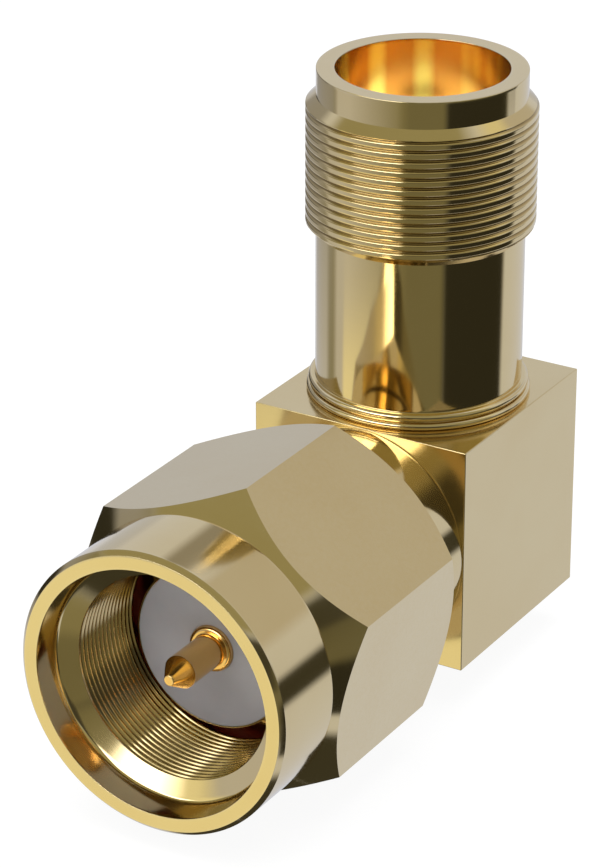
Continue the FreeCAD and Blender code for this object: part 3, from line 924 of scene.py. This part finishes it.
def make_coupling_nut():
    # Each section's first and last corner only turn their neighbours' sides, and are dropped
    front = section(
        (HEX_APOTHEM, HEX_FRONT - (HEX_APOTHEM - HEX_BEVEL_RADIUS) * HEX_BEVEL_SLOPE),
        (UNDERCUT_RADIUS, HEX_FRONT + (HEX_BEVEL_RADIUS - UNDERCUT_RADIUS) * HEX_BEVEL_SLOPE),
        (UNDERCUT_RADIUS, COLLAR_ROOT),
        (COLLAR_RADIUS, COLLAR_ROOT, FINE),
        (COLLAR_RADIUS, NUT_FRONT - COLLAR_EDGE, HAIR),
        (COLLAR_RADIUS - COLLAR_EDGE, NUT_FRONT, HAIR),
        (MOUTH_RADIUS, NUT_FRONT, HAIR),
        (MOUTH_WALL_RADIUS, MOUTH_CORNER, MOUTH_ROUNDING),
        (NUT_THREAD_RADIUS, NUT_THREAD_FRONT),
        (NUT_THREAD_RADIUS, HEX_FRONT),
    )[1:-1]
    rear = section(
        (NUT_THREAD_RADIUS, MOUTH_CORNER),
        (NUT_THREAD_RADIUS, NUT_THREAD_REAR),
        (RELIEF_RADIUS, NUT_THREAD_REAR, SLIGHT),
        (RELIEF_RADIUS, RELIEF_REAR, SOFT),
        (NUT_BORE_RADIUS, RELIEF_REAR, SLIGHT),
        (NUT_BORE_RADIUS, RING_FRONT + RING_PLAY),
        (NUT_GROOVE_RADIUS, RING_FRONT + RING_PLAY),
        (NUT_GROOVE_RADIUS, RING_REAR - RING_PLAY),
        (NUT_BORE_RADIUS, RING_REAR - RING_PLAY),
        (NUT_BORE_RADIUS, NUT_REAR, SOFT),
        (HEX_BEVEL_RADIUS, NUT_REAR),
    )[1:-1]
    thread = helix(
        NUT_THREAD_REAR,
        NUT_THREAD_FRONT,
        NUT_PITCH,
        NUT_GROOVE,
        NUT_THREAD_STEPS,
        nut_thread_form,
    )
    thread.reverse()
    rows = hexagon_rows() + rings(front) + thread + rings(rear)
    piece = skin("coupling_nut_skin", rows, on_plug, HEX_TURN)
    return dress(piece, "nut", "coupling_nut", gold_on_nut)


def make_elbow_block():
    """Cube with lightly rounded edges, bored for both arms and for the cap behind the contact."""
    mesh = bmesh.new()
    bmesh.ops.create_cube(mesh, size=2 * HALF_BLOCK * MM)
    bmesh.ops.translate(mesh, verts=mesh.verts, vec=(0, 0, HALF_BLOCK * MM))
    bmesh.ops.bevel(
        mesh,
        geom=mesh.edges[:],
        offset=BLOCK_ROUNDING * MM,
        segments=BLOCK_ROUNDING_STEPS,
        profile=0.5,
        affect="EDGES",
        clamp_overlap=True,
    )
    piece = finish_mesh("elbow_block_skin", mesh)
    arm_bore = section(
        (0, CAVITY_END),
        (CAVITY_RADIUS, CAVITY_END),
        (CAVITY_RADIUS, INSULATOR_STOP),
        (INSULATOR_RADIUS, INSULATOR_STOP),
        (INSULATOR_RADIUS, SPIGOT_STOP),
        (SPIGOT_RADIUS, SPIGOT_STOP),
        (SPIGOT_RADIUS, HALF_BLOCK + CUT_OVERRUN),
        (0, HALF_BLOCK + CUT_OVERRUN),
    )
    access = section(
        (0, -HALF_BLOCK - CUT_OVERRUN),
        (CAP_RADIUS, -HALF_BLOCK - CUT_OVERRUN),
        (CAP_RADIUS, CAP_FLOOR),
        (CAVITY_RADIUS, CAP_FLOOR),
        (CAVITY_RADIUS, 0),
        (0, 0),
    )
    carve(piece, [
        skin("jack_seat", rings(arm_bore, COARSE_COLUMNS), on_jack),
        skin("plug_seat", rings(arm_bore, COARSE_COLUMNS), on_plug),
        skin("cap_seat", rings(access, COARSE_COLUMNS), on_plug),
    ])
    return dress(piece, "elbow", "elbow_block", gold_on_block)


def finish_plain_solids():
    """The frame's own solids that stay as they are get their materials."""
    finishes = {
        "retaining_ring": spring_bronze,
        "solder_joint": solder_metal,
    }
    for name, material in finishes.items():
        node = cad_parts[name]
        node.data.materials.clear()
        node.data.materials.append(material)


# Studio

def card_material(name, colour, strength):
    """Lit card that fades out at its borders."""
    nodes = Nodes(bpy.data.materials.new(name))
    light = nodes.add("Emission", {"Color": opaque(colour), "Strength": strength})
    clear = nodes.add("BsdfTransparent")
    cover = nodes.add("Attribute", attribute_name="cover").outputs["Fac"]
    blend = nodes.add("MixShader", {0: cover, 1: clear.outputs[0], 2: light.outputs[0]})
    return nodes.finish(blend)


def card_stops(span, first, last):
    """Angles from one border of a card to the other, each with its cover: 0 at a border, 1 inside."""
    low, high = span
    stops = []
    for start, end in ((low, low + first), (low + first, high - last), (high - last, high)):
        steps = math.ceil((end - start) / CARD_STEP)
        stops += [start + (end - start) * step / steps for step in range(steps)]
    stops.append(high)
    return [(stop, min(1.0, (stop - low) / first, (high - stop) / last)) for stop in stops]


def card(name, azimuths, elevations, strength, colour, distance, fades):
    """Curved card for the metal to mirror. It hides from everything but mirrored rays."""
    mesh = bmesh.new()
    cover = mesh.verts.layers.float.new("cover")
    west, east, south, north = fades if isinstance(fades, tuple) else (fades,) * 4
    radius = distance * TENT_RADIUS
    grid = []
    for elevation, cover_up in card_stops(elevations, south, north):
        line = []
        for azimuth, cover_across in card_stops(azimuths, west, east):
            place = direction(math.radians(azimuth), math.radians(elevation)) * radius
            vertex = mesh.verts.new(place)
            vertex[cover] = cover_up * cover_across
            line.append(vertex)
        grid.append(line)
    for line, following in zip(grid, grid[1:]):
        join_lines(mesh, line, following)
    panel = finish_mesh(name, mesh)
    panel.data.materials.append(card_material(name, colour, strength))
    panel.visible_camera = False
    panel.visible_diffuse = False
    panel.visible_transmission = False
    panel.visible_volume_scatter = False
    panel.visible_shadow = False
    panel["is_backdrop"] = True


def make_world():
    """White to the camera and to mirrored and passing rays, and dimmer for the light it sheds."""
    world = bpy.data.worlds.new("studio")
    bpy.context.scene.world = world
    nodes = Nodes(world)
    path = nodes.add("LightPath")
    seen = nodes.math("MAXIMUM", path.outputs["Is Camera Ray"], path.outputs["Is Glossy Ray"])
    clear = nodes.math("MAXIMUM", seen, path.outputs["Is Transmission Ray"])
    dim = nodes.add("Background", {"Color": opaque(SKY), "Strength": SKY_STRENGTH})
    white = nodes.add("Background", {"Color": opaque(WHITE), "Strength": 1.0})
    mix = nodes.add("MixShader", {0: clear, 1: dim.outputs[0], 2: white.outputs[0]})
    nodes.finish(mix, "OutputWorld")


def make_floor():
    """Pale floor under the lowest point, white to the camera apart from the object's shadow."""
    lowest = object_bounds()[0].z
    mesh = bmesh.new()
    bmesh.ops.create_grid(mesh, x_segments=1, y_segments=1, size=FLOOR_REACH)
    bmesh.ops.translate(mesh, verts=mesh.verts, vec=(0, 0, lowest))
    floor = finish_mesh("floor", mesh)
    nodes = Nodes(bpy.data.materials.new("floor_paper"))
    tooth = nodes.noise(nodes.place(), PAPER_SCALE, detail=2.0)
    relief = nodes.relief(tooth, PAPER_RELIEF, PAPER_DEPTH)
    paper = nodes.add("BsdfDiffuse", {"Color": opaque(PAPER), "Normal": relief})
    glow = nodes.add("Emission", {"Color": opaque(WHITE), "Strength": 1.0})
    path = nodes.add("LightPath")
    white = nodes.math("MULTIPLY", path.outputs["Is Camera Ray"], PAPER_WHITENESS)
    blend = nodes.add("MixShader", {0: white, 1: paper.outputs[0], 2: glow.outputs[0]})
    floor.data.materials.append(nodes.finish(blend))
    floor.visible_glossy = False
    floor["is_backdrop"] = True


def lamp(name, azimuth, elevation, size, watts, colour):
    light = bpy.data.lights.new(name, "AREA")
    light.shape = "DISK"
    light.size = size
    light.energy = watts
    light.color = colour
    item = bpy.data.objects.new(name, light)
    bpy.context.scene.collection.objects.link(item)
    item.location = direction(math.radians(azimuth), math.radians(elevation)) * LAMP_DISTANCE
    item.rotation_mode = "QUATERNION"
    item.rotation_quaternion = (-item.location).to_track_quat("-Z", "Y")
    item.visible_glossy = False


# The whole adapter and its studio

make_elbow_block()
make_jack_barrel()
make_jack_insulator()
make_jack_contact()
make_plug_body()
make_plug_insulator()
make_plug_contact()
make_gasket()
make_rear_cap()
make_coupling_nut()
finish_plain_solids()

make_camera()
for row in CARDS:
    card(*row)
make_world()
make_floor()
for row in LAMPS:
    lamp(*row)

bpy.context.scene.view_settings.view_transform = "Standard"
